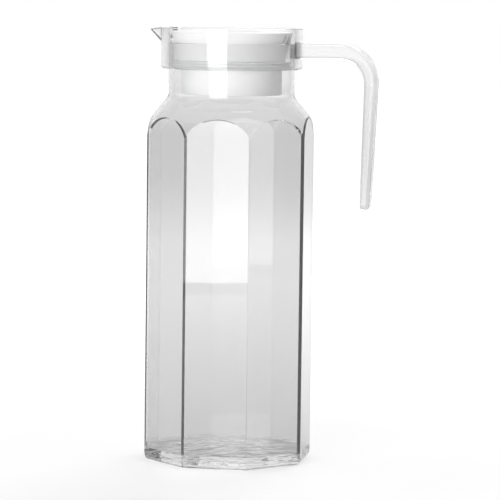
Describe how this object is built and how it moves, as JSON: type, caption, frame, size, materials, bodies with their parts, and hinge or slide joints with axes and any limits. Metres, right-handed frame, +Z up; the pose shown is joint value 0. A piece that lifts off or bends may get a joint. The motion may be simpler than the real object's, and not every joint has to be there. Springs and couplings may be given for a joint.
{
  "type": "water jug",
  "caption": "Clear octagonal water jug with a round neck, a V-shaped pouring lip, a bent bar handle and a white lift-out lid.",
  "frame": {"origin": "centre of the flat underside, on the axis of the neck", "axes": "+Z up along the axis of the neck, +X towards the handle, -X towards the pouring lip"},
  "size_m": [0.1405, 0.0964, 0.264],
  "materials": {
    "clear_acrylic": "polished, clear",
    "white_plastic": "smooth satin",
    "seal_silicone": "soft, translucent white"
  },
  "bodies": {
    "jug": {"jug_body": "clear_acrylic", "base_plate": "clear_acrylic", "pour_collar": "clear_acrylic", "handle": "clear_acrylic"},
    "sealing_ring": {"lid_seal": "seal_silicone"},
    "stopper": {"lid": "white_plastic"}
  },
  "joints": [
    {"name": "lid_lift", "type": "slide", "parent": "jug", "child": "sealing_ring", "axis": [0, 0, 1], "range_m": [0, 0.06]},
    {"name": "lid_turn", "type": "hinge", "parent": "sealing_ring", "child": "stopper", "pos_m": [0, 0, 0.2426], "axis": [0, 0, 1], "continuous": true}
  ]
}
